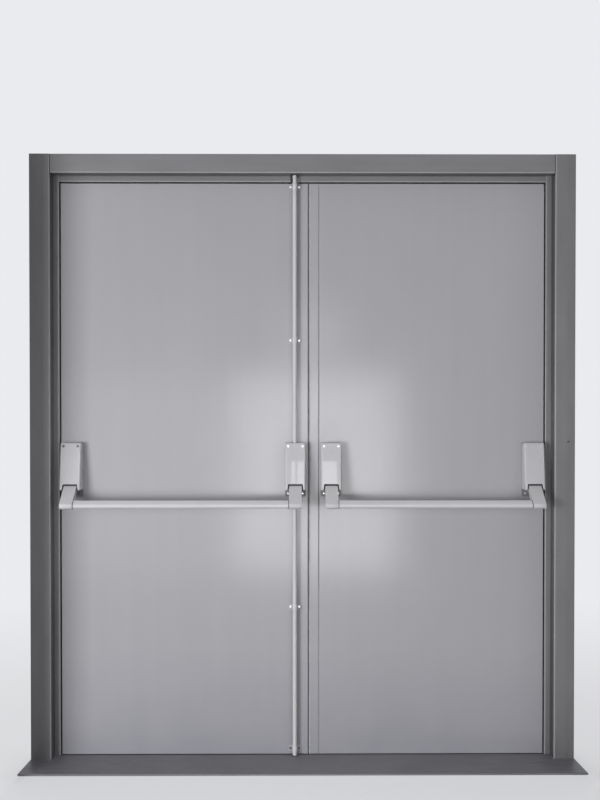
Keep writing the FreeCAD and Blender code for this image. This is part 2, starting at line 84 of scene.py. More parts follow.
# Screw heads: rise and cross as shares of the radius, rim and depth of the cross as shares of the rise
SCREW_RISE = 0.55
SCREW_RIM = 0.35
CROSS_MOUTH = (0.46, 0.12)
CROSS_BOTTOM = (0.38, 0.08)
CROSS_DEPTH = 0.6

# Plug head: rise and rim as shares of the radius
PLUG_RISE = 0.3
PLUG_RIM = 0.1

# Domes of the heads, with the share of a quarter turn that each bends
SCREW_CROWN = 0.62
PLUG_CROWN = 0.85
HEAD_SIDES = 24
DOME_STEPS = 4

# Where lines that look along +Y for the front of a node start, and the digits that tell heights apart
LOOK_FROM = -1
HEIGHT_DIGITS = 4

# Dark collars where a push bar enters its arms: painted shadow of the gap there
SHADOW_RING_LENGTH = 0.0024
SHADOW_RING_STAND = 0.0007
SHADOW_RING_SINK = 0.0004
BAR_LONG = 0.034
BAR_THICK = 0.018
BAR_STEPS = 12
ARM_TILT = radians(54)

# Soft beads in the upright joints of the right leaf, just behind its face; the one in the groove is darker,
# painted shade of the groove line
BEAD_SINK = 0.0007
BEAD_CROWN = 0.0006
BEAD_LAP = 0.0008
BEAD_STEPS = 8

# Painted shadow on an arm from where it enters the mouth of its housing
MOUTH_SHADOW_DROP = 0.0055
MOUTH_SHADOW_FADE = 0.0015
MOUTH_SHADOW_SHARE = 0.85
MOUTH_STEP = 0.0005

# Foot plate of a rod guide
GUIDE_PLATE = 0.0034

# Dark joint where the head butts against the jambs
SEAM_WIDTH = 0.0022

# Painted highlights along the frame's bends
KEEPER_SHEET = 0.002
HIGHLIGHT_CORE = 0.0025
HIGHLIGHT_REACH = 0.0055
HIGHLIGHT_SHARE = 0.7

# Painted shade on the returns behind the frame's face, and darker towards the bottom of the jambs
SHADE_SPREAD = (0.001, 0.004)
SHADE_DEPTH = (0.003, 0.012)
RETURN_SHADE_SHARES = {"jamb_left": 0.7, "jamb_right": 0.75, "head": 0.62}
LOW_DARK_HEIGHT = (0.02, 0.3)
LOW_DARK_SHARE = 0.3

# Painted shade and dust low down on the leaves, and the trodden part of the threshold to each side of its
# middle
LOW_SHADE_AND_DUST_HEIGHT = (0.0, 0.4)
LOW_SHADE_AND_DUST_SHARE = 0.62
TRODDEN_SPAN = (0.25, 0.95)

# Rounding of sheet edges that the solids leave sharp
EDGE_ANGLE = radians(35)
EDGE_SEGMENTS = 2
FITTING_EDGE = 0.0008
SILL_EDGE = 0.0015
GUIDE_EDGE = 0.0004
HOUSING_EDGE = 0.001
ARM_EDGE = 0.0018
WELD_SHARE = 1 / 100

# Sockets of a mix node for colours: its share, its two colours and its result
MIX_SHARE = 0
MIX_FIRST = 6
MIX_SECOND = 7
MIX_RESULT = 2

# Spans of noise values that are stretched to a full change, and the spread of roughness on plain finishes
NOISE_SPAN = (0.3, 0.7)
LOW_SHADE_AND_DUST_SPAN = (0.25, 0.75)
SCUFF_SPAN = (0.5, 0.68)
BLOOM_SPAN = (0.35, 0.75)
ROUGH_SPREAD = 0.1

# Stage: a floor that fades out, and boards just outside the frame
FLOOR_RADIUS = 11.0
FLOOR_SIDES = 96
FLOOR_FADE = (1.4, 3.4)
FLOOR_GLOW = 0.55
FLAG_GAP = 0.004
FLAG_DEPTH = 0.22
STAGE_CLOUDS = (0.9, 1.1)

# Soft light from all round, from just below the horizon to the top
SKY_SPAN = (-0.1, 1.0)
SKY_BELOW = 0.05
SKY_ABOVE = 0.7

# Boxes that light the door, each with its place, width and watts, and the two heights that share the watts
DOOR_MIDDLE = (0, 0, 1.0)
BOXES = (("left", (-3.1, -4.2, 0.95), 2.0, 232), ("right", (2.75, -4.4, 0.95), 3.6, 62))
BOX_PARTS = (("core", 0.5, 0.4), ("wash", 2.8, 0.6))

# One more box behind the door
BACK_PLACE = (0.0, 5.0, 3.0)
BACK_TARGET = (0, 0.1, 1.0)

# Cards to both sides that only gloss mirrors
CARD_PLACES = (("left", (-3.6, -4.3, 1.3)), ("right", (3.6, -4.3, 1.3)))
CARD_TARGET = (0, 0, 1.1)

# Upright cards that only gloss mirrors: left, right, lower and upper edges, and watts to the square metre
PANE_AWAY = 2.5
BRIGHT_WATTS = 16.7
FAINT_PANE = (-1.46, -0.4, 0.24, 1.44)
FAINT_WATTS = 3.5
WINDOW_AWAY = 4.45
WINDOW_WATTS = 14.0
WINDOWS = (("narrow", -0.049, -0.019, 1.685, 1.975), ("wide", -0.002, 0.31, 1.685, 1.975))

# The bright card has a dark middle, so it is four
BRIGHT_PANES = (("left", -0.39, -0.03, 0.24, 1.44), ("right", 0.21, 0.61, 0.24, 1.44),
                ("over", -0.03, 0.21, 1.065, 1.44), ("under", -0.03, 0.21, 0.24, 0.695))


# Colours

def tone(red, green, blue):
    """A colour as it looks on a screen, from 0 to 255, as the linear colour that shaders take."""
    def linear(channel):
        share = channel / 255
        return share / 12.92 if share <= 0.04045 else ((share + 0.055) / 1.055) ** 2.4
    return (linear(red), linear(green), linear(blue), 1)


LEAF_GREY = tone(158, 157, 162)
FRAME_GREY = tone(117, 117, 120)
SILL_GREY = tone(107, 107, 112)
DUST_GREY = tone(134, 131, 126)
# Darker, bluish grey low on the leaves: painted shade near the floor, with some dust
LEAF_SHADE_AND_DUST = tone(126, 128, 137)
# Painted highlight on the frame's bends
HIGHLIGHT_GREY = tone(158, 158, 160)
# Grey of the painted shade on the frame's returns, also mixed in towards the bottom of the jambs
DEEP_GREY = tone(52, 52, 57)
SILVER = tone(181, 181, 185)
BAR_SILVER = tone(198, 198, 201)
ROD_SILVER = tone(196, 196, 199)
# Darker copy of the device silver: painted shade on the base plates under the housings
SHADED_BASE_SILVER = tone(126, 126, 129)
ARM_SILVER = tone(191, 191, 194)
# Painted shadow on the arms inside the mouths of the housings
MOUTH_SHADOW_DARK = tone(44, 44, 46)
SEAM_DARK = tone(40, 40, 42)
ZINC_GREY = tone(168, 171, 174)
ZINC_DARK = tone(142, 146, 150)
SCREW_BRIGHT = tone(250, 250, 251)
SCREW_SILVER = tone(196, 196, 199)
SCREW_DULL = tone(112, 113, 116)
RUBBER_BLACK = tone(34, 34, 36)
SEAL_GREY = tone(156, 156, 161)
# Darker grey of the groove's bead: painted shade of the groove line
GROOVE_SHADE_GREY = tone(120, 120, 124)
# Dark collars standing for the shadow line where a bar meets its arms
SHADOW_RING_GREY = tone(62, 62, 65)
PLUG_GREY = tone(84, 84, 87)
PALE = tone(234, 235, 238)
FLOOR_PALE = tone(214, 214, 216)
FLOOR_BOUNCE = tone(74, 74, 75)
FLAG_GREY = tone(150, 150, 151)
WHITE = (1, 1, 1, 1)


# Material nodes

def add(tree, kind, inputs=None, **settings):
    """Adds a node, links the inputs given as sockets and sets the rest."""
    made = tree.nodes.new(kind)
    for name, setting in settings.items():
        setattr(made, name, setting)
    for key, given in (inputs or {}).items():
        if isinstance(given, bpy.types.NodeSocket):
            tree.links.new(given, made.inputs[key])
        else:
            made.inputs[key].default_value = given
    return made


def place(tree, axis=None):
    """The point on the piece in the part's own space, or one of its coordinates."""
    point = add(tree, "ShaderNodeTexCoord").outputs["Object"]
    if axis is None:
        return point
    return add(tree, "ShaderNodeSeparateXYZ", {0: point}).outputs[axis]


def noise(tree, grains, stretch=(1, 1, 1), detail=3.0):
    """Noise with about that many grains to the metre, more or fewer along an axis by its stretch."""
    mapped = add(tree, "ShaderNodeMapping", {"Vector": place(tree), "Scale": stretch})
    return add(tree, "ShaderNodeTexNoise",
               {"Vector": mapped.outputs[0], "Scale": grains, "Detail": detail}).outputs["Fac"]


def ramp(tree, share, low, high, to_low, to_high):
    """Maps low..high to to_low..to_high, held at both ends."""
    return add(tree, "ShaderNodeMapRange", {
        "Value": share, "From Min": low, "From Max": high, "To Min": to_low, "To Max": to_high,
    }).outputs[0]


def varied(tree, grain, low, high):
    """A level that follows a noise from low to high."""
    return ramp(tree, grain, *NOISE_SPAN, low, high)


def calculate(tree, operation, first, second=0.0):
    """The result of an operation on one or two values."""
    return add(tree, "ShaderNodeMath", {0: first, 1: second}, operation=operation).outputs[0]


def from_middle(tree):
    """The distance along the door from its middle."""
    return calculate(tree, "ABSOLUTE", place(tree, "X"))


def mixed(tree, share, first, second):
    """A colour between two colours."""
    inputs = {MIX_SHARE: share, MIX_FIRST: first, MIX_SECOND: second}
    return add(tree, "ShaderNodeMix", inputs, data_type="RGBA").outputs[MIX_RESULT]


def shaded(tree, colour, level):
    """A colour made lighter or darker by a level around 1."""
    inputs = {MIX_SHARE: 1.0, MIX_FIRST: colour, MIX_SECOND: level}
    return add(tree, "ShaderNodeMix", inputs, data_type="RGBA", blend_type="MULTIPLY").outputs[MIX_RESULT]


def bumped(tree, height, depth, under=None):
    """A normal that follows a height from 0 to 1 over a depth in metres."""
    inputs = {"Height": height, "Distance": depth, "Strength": 1.0}
    if under is not None:
        inputs["Normal"] = under
    return add(tree, "ShaderNodeBump", inputs).outputs[0]


def start_material(name):
    """A new material with its node tree and shader."""
    material = bpy.data.materials.new(name)
    material.use_nodes = True
    tree = material.node_tree
    return material, tree, tree.nodes["Principled BSDF"]


def finish_shader(tree, shader, colour, roughness, normal, **fixed):
    """Links what varies over the surface and sets what does not."""
    for socket, given in (("Base Color", colour), ("Roughness", roughness), ("Normal", normal)):
        tree.links.new(given, shader.inputs[socket])
    for name, given in fixed.items():
        shader.inputs[name.replace("_", " ").title()].default_value = given


# Materials of the leaves and the frame

def leaf_paint():
    """Semi-gloss factory paint on thin sheet: faint clouds, painted shade and dust low down, and a soft
    waviness.
    """
    material, tree, shader = start_material("leaf_paint")
    clouds = varied(tree, noise(tree, grains=1.4), low=0.975, high=1.02)
    drawn = varied(tree, noise(tree, grains=1.0, stretch=(22, 22, 0.9)), low=0.988, high=1.012)
    colour = shaded(tree, LEAF_GREY, calculate(tree, "MULTIPLY", clouds, drawn))
    # Darker and bluer low down: painted shade near the floor, with some dust
    low_down = ramp(tree, place(tree, "Z"), *LOW_SHADE_AND_DUST_HEIGHT, LOW_SHADE_AND_DUST_SHARE, 0.0)
    patchy = ramp(tree, noise(tree, grains=6.0, detail=5.0), *LOW_SHADE_AND_DUST_SPAN, to_low=0.55, to_high=1.0)
    colour = mixed(tree, calculate(tree, "MULTIPLY", low_down, patchy), colour, LEAF_SHADE_AND_DUST)
    roughness = varied(tree, noise(tree, grains=9.0, detail=5.0), low=0.15, high=0.19)
    waves = bumped(tree, noise(tree, grains=2.2, detail=1.0), depth=0.0012)
    peel = bumped(tree, noise(tree, grains=420.0), depth=0.00003, under=waves)
    finish_shader(tree, shader, colour, roughness, peel)
    return material


def member_noise(tree, along, grains_along, grains_across, detail):
    """Noise with its own number of grains to the metre along a member and across it."""
    stretch = {"X": grains_across, "Y": grains_across, "Z": grains_across, along: grains_along}
    return noise(tree, grains=1.0, stretch=tuple(stretch.values()), detail=detail)


def across_member(tree, along):
    """The height on the head, and the distance from the door's middle on a jamb."""
    return place(tree, "Z") if along == "X" else from_middle(tree)


def member_folds(along):
    """Where a member's face and its stop end, as places across the member and in depth."""
    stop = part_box("rod_keeper")[0]
    if along == "X":
        return (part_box("rod_keeper")[1].z - KEEPER_SHEET, 0), (stop.z, stop.y)
    return (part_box("head")[1].x, 0), (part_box("jamb_right")[0].x, stop.y)


def on_return(tree, along, face_edge):
    """1 on the return behind a member's face, fading to 0 over the stop and before the face: the mask of the
    painted shade there.
    """
    offset = calculate(tree, "SUBTRACT", across_member(tree, along), face_edge)
    beside = ramp(tree, calculate(tree, "ABSOLUTE", offset), *SHADE_SPREAD, 1.0, 0.0)
    behind = ramp(tree, place(tree, "Y"), *SHADE_DEPTH, 0.0, 1.0)
    return calculate(tree, "MULTIPLY", beside, behind)


def along_folds(tree, along, folds):
    """1 close to folds given across and in depth, fading to 0 at the reach of the painted highlights."""
    places = {"X": across_member(tree, along), "Y": place(tree, "Y")}
    point = add(tree, "ShaderNodeCombineXYZ", places).outputs[0]
    share = 0.0
    for fold in folds:
        away = add(tree, "ShaderNodeVectorMath", {0: point, 1: (*fold, 0)}, operation="DISTANCE")
        near = ramp(tree, away.outputs["Value"], HIGHLIGHT_CORE, HIGHLIGHT_REACH, 1.0, 0.0)
        share = calculate(tree, "MAXIMUM", share, near)
    return share


def frame_colour(tree, along, shade_share):
    """Frame grey with drawing marks and clouds, darker towards the bottom, painted shade on the return and
    painted highlights on the bends.
    """
    fine = member_noise(tree, along, grains_along=0.2, grains_across=60, detail=1.0)
    broad = member_noise(tree, along, grains_along=4, grains_across=16, detail=4.0)
    drawn = varied(tree, fine, low=0.97, high=1.03)
    clouds = varied(tree, broad, low=0.92, high=1.08)
    painted = shaded(tree, FRAME_GREY, calculate(tree, "MULTIPLY", drawn, clouds))
    # Darker towards the bottom of the jambs, unevenly
    low_down = ramp(tree, place(tree, "Z"), *LOW_DARK_HEIGHT, LOW_DARK_SHARE, 0.0)
    specks = varied(tree, noise(tree, grains=40.0, detail=6.0), low=0.6, high=1.0)
    painted = mixed(tree, calculate(tree, "MULTIPLY", low_down, specks), painted, DEEP_GREY)
    folds = member_folds(along)
    # Painted shade on the return behind the face, deeper on some members than on others
    return_shade = calculate(tree, "MULTIPLY", on_return(tree, along, folds[0][0]), shade_share)
    painted = mixed(tree, return_shade, painted, DEEP_GREY)
    # Painted highlights along the bends
    bend_highlights = calculate(tree, "MULTIPLY", along_folds(tree, along, folds), HIGHLIGHT_SHARE)
    return mixed(tree, bend_highlights, painted, HIGHLIGHT_GREY)


def frame_paint(member, shade_share):
    """Satin paint on a member of folded steel, with the dark joint at the ends of the head."""
    material, tree, shader = start_material(f"{member}_paint")
    along = "X" if member == "head" else "Z"
    painted = frame_colour(tree, along, shade_share)
    if member == "head":
        joint = calculate(tree, "GREATER_THAN", from_middle(tree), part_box("head")[1].x - SEAM_WIDTH)
        painted = mixed(tree, joint, painted, SEAM_DARK)
    roughness = varied(tree, noise(tree, grains=12.0, detail=1.0), low=0.28, high=0.32)
    peel = bumped(tree, noise(tree, grains=380.0), depth=0.00002)
    finish_shader(tree, shader, painted, roughness, peel)
    return material


def sill_paint():
    """Dark floor paint with a trodden middle, dull scuffs and settled dust."""
    material, tree, shader = start_material("sill_paint")
    clouds = varied(tree, noise(tree, grains=5.0, detail=5.0), low=0.9, high=1.1)
    colour = shaded(tree, SILL_GREY, clouds)
    trodden = ramp(tree, from_middle(tree), *TRODDEN_SPAN, to_low=0.45, to_high=0.1)
    scuffs = ramp(tree, noise(tree, grains=9.0, stretch=(1, 7, 7), detail=6.0), *SCUFF_SPAN, 0.0, 1.0)
    colour = mixed(tree, calculate(tree, "MULTIPLY", trodden, scuffs), colour, DUST_GREY)
    roughness = ramp(tree, scuffs, 0.0, 1.0, to_low=0.42, to_high=0.6)
    grit = bumped(tree, noise(tree, grains=260.0, detail=4.0), depth=0.00018)
    finish_shader(tree, shader, colour, roughness, grit)
    return material


# Materials of the fittings

def satin_silver(name, colour, coat, shadowed_from=None):
    """Silver lacquer on metal: fine flake, handling marks, and painted shadow above a height if one is
    given.
    """
    material, tree, shader = start_material(name)
    flake = varied(tree, noise(tree, grains=1600.0, detail=1.0), low=0.96, high=1.04)
    marks = varied(tree, noise(tree, grains=18.0, detail=5.0), low=0.97, high=1.02)
    lacquer = shaded(tree, colour, calculate(tree, "MULTIPLY", flake, marks))
    if shadowed_from is not None:
        # Painted shadow on the arm from just below the mouth's upper edge into the housing
        mouth_shadow = ramp(tree, place(tree, "Z"), shadowed_from - MOUTH_SHADOW_FADE, shadowed_from, 0.0, MOUTH_SHADOW_SHARE)
        lacquer = mixed(tree, mouth_shadow, lacquer, MOUTH_SHADOW_DARK)
    roughness = varied(tree, noise(tree, grains=35.0, detail=4.0), low=0.3, high=0.4)
    peel = bumped(tree, noise(tree, grains=700.0), depth=0.000015)
    finish_shader(tree, shader, lacquer, roughness, peel, coat_weight=coat, coat_roughness=0.02)
    shader.inputs["Specular IOR Level"].default_value = 0.08
    return material


def guide_finish():
    """Rod guides: the nose in rod silver, the foot plate painted over with the leaf."""
    material, tree, shader = start_material("guide_finish")
    plate_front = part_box("rod_guides")[1].y - GUIDE_PLATE
    on_plate = calculate(tree, "GREATER_THAN", place(tree, "Y"), plate_front)
    colour = mixed(tree, on_plate, ROD_SILVER, LEAF_GREY)
    marks = varied(tree, noise(tree, grains=60.0, detail=4.0), low=0.96, high=1.03)
    roughness = varied(tree, noise(tree, grains=35.0), low=0.34, high=0.44)
    peel = bumped(tree, noise(tree, grains=600.0), depth=0.00002)
    finish_shader(tree, shader, shaded(tree, colour, marks), roughness, peel)
    return material


def zinc():
    """Hot-dip zinc with its crystal spangle."""
    material, tree, shader = start_material("zinc")
    spangle = add(tree, "ShaderNodeTexVoronoi", {"Vector": place(tree), "Scale": 170.0}).outputs["Color"]
    grain = add(tree, "ShaderNodeSeparateColor", {0: spangle}).outputs[0]
    colour = mixed(tree, grain, ZINC_DARK, ZINC_GREY)
    roughness = ramp(tree, grain, 0.0, 1.0, to_low=0.34, to_high=0.52)
    peel = bumped(tree, noise(tree, grains=500.0), depth=0.00005)
    finish_shader(tree, shader, colour, roughness, peel, metallic=0.8)
    return material


def turned_steel(name, colour, rough, metallic):
    """Plated screw heads with fine turning marks."""
    material, tree, shader = start_material(name)
    marks = varied(tree, noise(tree, grains=2500.0, detail=2.0), low=0.92, high=1.05)
    roughness = varied(tree, noise(tree, grains=900.0), low=rough, high=rough + ROUGH_SPREAD)
    tooled = bumped(tree, noise(tree, grains=3000.0), depth=0.00001)
    finish_shader(tree, shader, shaded(tree, colour, marks), roughness, tooled, metallic=metallic)
    return material


def rubber(name, colour):
    """Soft seal, or a dark collar that paints a shadow line, with a dusty bloom."""
    material, tree, shader = start_material(name)
    bloom = ramp(tree, noise(tree, grains=50.0, detail=6.0), *BLOOM_SPAN, to_low=0.9, to_high=1.35)
    roughness = varied(tree, noise(tree, grains=80.0), low=0.62, high=0.8)
    pores = bumped(tree, noise(tree, grains=1200.0), depth=0.00005)
    finish_shader(tree, shader, shaded(tree, colour, bloom), roughness, pores)
    return material


def dress(material, *names):
    """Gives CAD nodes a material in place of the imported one."""
    for name in names:
        NODES[name].data.materials.clear()
        NODES[name].data.materials.append(material)


def soften(width, *names):
    """Rounds the sharp sheet edges of CAD nodes with modifiers, without touching their meshes."""
    for name in names:
        weld = NODES[name].modifiers.new("weld", "WELD")
        weld.merge_threshold = width * WELD_SHARE
        edge = NODES[name].modifiers.new("edge", "BEVEL")
        edge.width = width
        edge.segments = EDGE_SEGMENTS
        edge.limit_method = "ANGLE"
        edge.angle_limit = EDGE_ANGLE
        edge.harden_normals = True


# Meshes of the small pieces

def add_loop(shape, points):
    """A closed ring of vertices and edges."""
    ring = [shape.verts.new(point) for point in points]
    edges = [shape.edges.new(pair) for pair in zip(ring, ring[1:] + ring[:1])]
    return ring, edges


def bridge(shape, lower, upper):
    """Quads between two rings with the same number of vertices."""
    for index, corner in enumerate(lower):
        following = (index + 1) % len(lower)
        shape.faces.new((corner, lower[following], upper[following], upper[index]))


def add_object(name, shape, material):
    """Turns a finished bmesh into an object in the scene."""
    mesh = bpy.data.meshes.new(name)
    shape.to_mesh(mesh)
    shape.free()
    mesh.materials.append(material)
    made = bpy.data.objects.new(name, mesh)
    bpy.context.scene.collection.objects.link(made)
    return made


def add_piece(name, shape, material, body):
    """Turns a finished bmesh into a piece that rides on a CAD body."""
    bmesh.ops.recalc_face_normals(shape, faces=shape.faces)
    piece = add_object(name, shape, material)
    piece.data.shade_smooth()
    piece.data.set_sharp_from_angle(angle=EDGE_ANGLE)
    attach(piece, body)


def ring_points(radius, height):
    """Points of a round ring about the Z axis."""
    turns = [2 * pi * step / HEAD_SIDES for step in range(HEAD_SIDES)]
    return [(radius * cos(turn), radius * sin(turn), height) for turn in turns]


def cross_points(reach, half, height):
    """The twelve corners of an upright cross, going round."""
    arm = ((reach, -half), (reach, half), (half, half))
    points = []
    for quarter in range(4):
        for across, up in arm:
            for _ in range(quarter):
                across, up = -up, across
            points.append((across, up, height))
    return points


def domed_head(radius, height, rim, crown):
    """A low dome from its foot to a flat crown that is left open, and the crown's ring."""
    shape = bmesh.new()
    rings = [add_loop(shape, ring_points(radius, 0))]
    for step in range(DOME_STEPS + 1):
        lean = radians(90 * step / DOME_STEPS) * crown
        rings.append(add_loop(shape, ring_points(radius * cos(lean), rim + (height - rim) * sin(lean))))
    for (lower, _), (upper, _) in zip(rings, rings[1:]):
        bridge(shape, lower, upper)
    return shape, rings[-1]


def screw_head(radius):
    """A pan head with a cross recess, standing on the XY plane."""
    height = radius * SCREW_RISE
    shape, (top, top_edges) = domed_head(radius, height, height * SCREW_RIM, SCREW_CROWN)
    level = max(corner.co.z for corner in top)
    mouth_sizes = [radius * share for share in CROSS_MOUTH]
    bottom_sizes = [radius * share for share in CROSS_BOTTOM]
    mouth, mouth_edges = add_loop(shape, cross_points(*mouth_sizes, level))
    bmesh.ops.triangle_fill(shape, use_beauty=True, edges=top_edges + mouth_edges)
    bottom, bottom_edges = add_loop(shape, cross_points(*bottom_sizes, level - height * CROSS_DEPTH))
    bridge(shape, mouth, bottom)
    bmesh.ops.triangle_fill(shape, use_beauty=True, edges=bottom_edges)
    return shape


def plug_head(radius):
    """A low domed plug."""
    shape, (top, _) = domed_head(radius, radius * PLUG_RISE, radius * PLUG_RIM, PLUG_CROWN)
    shape.faces.new(top)
    return shape


def bar_outline(grow):
    """Points round an oval bar's section, about its centre, long along the arm."""
    reach = (BAR_LONG - BAR_THICK) / 2
    radius = BAR_THICK / 2 + grow
    points = []
    for end in (1, -1):
        for step in range(BAR_STEPS + 1):
            turn = pi * step / BAR_STEPS + (0 if end == 1 else pi)
            points.append((radius * cos(turn), end * reach + radius * sin(turn)))
    lean, rise = sin(ARM_TILT), cos(ARM_TILT)
    return [(across * rise - along * lean, -across * lean - along * rise) for across, along in points]


def shadow_ring(bar, start, end):
    """A thin dark collar round the bar between two places along X, painted shadow of the gap at the arm."""
    low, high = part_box(bar)
    middle = (low + high) / 2
    shape = bmesh.new()
    rings = []
    for across, grow in ((start, -SHADOW_RING_SINK), (start, SHADOW_RING_STAND), (end, SHADOW_RING_STAND), (end, -SHADOW_RING_SINK)):
        points = [(across, middle.y + y, middle.z + z) for y, z in bar_outline(grow)]
        rings.append(add_loop(shape, points)[0])
    for lower, upper in zip(rings, rings[1:] + rings[:1]):
        bridge(shape, lower, upper)
    return shape


def bead_points(left, right, front, up):
    """Points of a bead's section, crowned to the front and flat at the back."""
    middle, half = (left + right) / 2, (right - left) / 2
    turns = [pi * step / BEAD_STEPS for step in range(BEAD_STEPS + 1)]
    return [(middle - half * cos(turn), front + BEAD_CROWN * (1 - sin(turn)), up) for turn in turns]


def bead(left, right, front, low, high):
    """An upright bead between two places along X."""
    shape = bmesh.new()
    rings = [add_loop(shape, bead_points(left, right, front, up))[0] for up in (low, high)]
    bridge(shape, *rings)
    for ring in rings:
        shape.faces.new(ring)
    return shape


# Small pieces in place

def look_along_y(node, across, up):
    """Whether a line along +Y meets a CAD node, with the point and the outward normal there."""
    return NODES[node].ray_cast(Vector((across, LOOK_FROM, up)), Vector((0, 1, 0)))[:3]


def mouth_edge(device):
    """The height of the upper edge of a housing's mouth, found by stepping down its middle."""
    low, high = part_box(f"{device}_housing")
    up = high.z - COVER_SCREW_DROP
    while look_along_y(f"{device}_housing", (low.x + high.x) / 2, up)[0]:
        up -= MOUTH_STEP
    return up


def on_front(node, across, up):
    """The point and outward normal where a line along +Y first meets a CAD node."""
    found, point, normal = look_along_y(node, across, up)
    if not found:
        raise RuntimeError(f"nothing of {node} lies at x {across:.3f}, z {up:.3f}")
    return point, normal


def set_on(shape, node, across, up, turn=0.0):
    """Moves a piece drawn on the XY plane onto the front of a CAD node, turned by some degrees."""
    point, normal = on_front(node, across, up)
    upright = normal.to_track_quat("Z", "Y").to_matrix().to_4x4()
    spin = Matrix.Rotation(radians(turn), 4, "Z")
    bmesh.ops.transform(shape, matrix=Matrix.Translation(point) @ upright @ spin, verts=shape.verts)


def add_screw(name, radius, node, across, up, material):
    """A screw on the front of a CAD node, with its cross turned as its name and place have it."""
    shape = screw_head(radius)
    set_on(shape, node, across, up, turn=TURN_BY_NAME * len(name) + TURN_BY_PLACE * across)
    add_piece(name, shape, material, NODES[node]["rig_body"])


def device_screws(device, material):
    """Two cover screws near the top of a housing and two base screws under it."""
    low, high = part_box(f"{device}_base")
    centre = (low.x + high.x) / 2
    cover_row = high.z - COVER_SCREW_DROP
    base_row = low.z + BASE_SCREW_RISE
    for side, spread in (("left", -COVER_SCREW_SPREAD), ("right", COVER_SCREW_SPREAD)):
        across = centre + spread
        for piece, node, radius, up in (("cover", "housing", COVER_SCREW_RADIUS, cover_row),
                                        ("base", "base", BASE_SCREW_RADIUS, base_row)):
            add_screw(f"{device}_{piece}_screw_{side}", radius, f"{device}_{node}", across, up, material)


def guide_rows():
    """The middle height of each rod guide, lowest first."""
    heights = sorted({round(corner.co.z, HEIGHT_DIGITS) for corner in NODES["rod_guides"].data.vertices})
    return [(low + high) / 2 for low, high in zip(heights[::2], heights[1::2])]


def guide_screws(bright, dull):
    """Two screws on each rod guide's foot plate; the lowest pair has gone dull."""
    low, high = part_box("rod_guides")
    centre = (low.x + high.x) / 2
    for row, middle in enumerate(guide_rows()):
        material = dull if row == 0 else bright
        for side, spread in (("left", -GUIDE_SCREW_SPREAD), ("right", GUIDE_SCREW_SPREAD)):
            name = f"guide_{row}_screw_{side}"
            add_screw(name, GUIDE_SCREW_RADIUS, "rod_guides", centre + spread, middle, material)


def bar_shadow_rings(side, left_arm, right_arm, material):
    """A dark collar at each end of a push bar, against the face of its arm: painted shadow of the gap there.
    """
    bar = f"{side}_push_bar"
    left_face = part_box(left_arm)[1].x
    right_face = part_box(right_arm)[0].x
    for end, start, stop in (("left", left_face, left_face + SHADOW_RING_LENGTH),
                             ("right", right_face - SHADOW_RING_LENGTH, right_face)):
        add_piece(f"{side}_bar_shadow_ring_{end}", shadow_ring(bar, start, stop), material, f"{side}_bar")


def leaf_beads(groove_material, seal_material):
    """Beads in the groove beside the edge strip and over the front strip of the meeting seal; the groove's
    bead is a darker grey that paints the groove's shade line.
    """
    low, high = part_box("right_edge_strip")
    groove_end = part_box("right_leaf_front")[0].x
    seal_start = (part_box("left_leaf_front")[1].x + low.x) / 2
    front = low.y + BEAD_SINK
    bottom, top = low.z + BEAD_LAP, high.z - BEAD_LAP
    for name, material, left, right in (
            ("groove_bead", groove_material, high.x - BEAD_LAP, groove_end + BEAD_LAP),
            ("meeting_bead", seal_material, seal_start, low.x + BEAD_LAP)):
        add_piece(name, bead(left, right, front, bottom, top), material, "right_leaf")


def jamb_plug(material):
    """A small plug in the face of the right jamb."""
    shape = plug_head(PLUG_RADIUS)
    set_on(shape, "jamb_right", *PLUG_PLACE)
    add_piece("jamb_plug", shape, material, "frame")


# Stage

def seen_clearly(tree):
    """1 for what the camera sees directly, mirrored or through something clear, 0 for light that bounces."""
    path = add(tree, "ShaderNodeLightPath").outputs
    sharp = calculate(tree, "MAXIMUM", path["Is Glossy Ray"], path["Is Transmission Ray"])
    return calculate(tree, "MAXIMUM", path["Is Camera Ray"], sharp)


def matte(tree, shader, colour, clouds, rough):
    """Finishes a stage material without gloss."""
    roughness = ramp(tree, clouds, *STAGE_CLOUDS, rough, rough + ROUGH_SPREAD)
    finish_shader(tree, shader, colour, roughness, bumped(tree, noise(tree, grains=90.0), depth=0.0001))


def floor_paint():
    """Pale to the eye, darker to light that bounces, and fading into the background with distance."""
    material, tree, shader = start_material("floor_pale")
    seen = seen_clearly(tree)
    clouds = varied(tree, noise(tree, grains=0.8), low=0.985, high=1.01)
    matte(tree, shader, mixed(tree, seen, FLOOR_BOUNCE, shaded(tree, FLOOR_PALE, clouds)), clouds, rough=0.7)
    glow = add(tree, "ShaderNodeEmission", {"Color": PALE}).outputs[0]
    glowing = calculate(tree, "MULTIPLY", seen, FLOOR_GLOW)
    lit = add(tree, "ShaderNodeMixShader", {0: glowing, 1: shader.outputs[0], 2: glow}).outputs[0]
    distance = add(tree, "ShaderNodeVectorMath", {0: place(tree)}, operation="LENGTH").outputs["Value"]
    gone = add(tree, "ShaderNodeBsdfTransparent").outputs[0]
    faded = ramp(tree, distance, *FLOOR_FADE, 0.0, 1.0)
    fade = add(tree, "ShaderNodeMixShader", {0: faded, 1: lit, 2: gone}).outputs[0]
    tree.links.new(fade, tree.nodes["Material Output"].inputs["Surface"])
    return material


def floor():
    """A pale floor that fades into the background."""
    shape = bmesh.new()
    bmesh.ops.create_circle(shape, cap_ends=True, segments=FLOOR_SIDES, radius=FLOOR_RADIUS)
    ground = add_object("floor", shape, floor_paint())


def flag_paint():
    """Matte grey boards."""
    material, tree, shader = start_material("flag_board")
    clouds = varied(tree, noise(tree, grains=2.0), low=0.97, high=1.03)
    matte(tree, shader, shaded(tree, FLAG_GREY, clouds), clouds, rough=0.8)
    return material


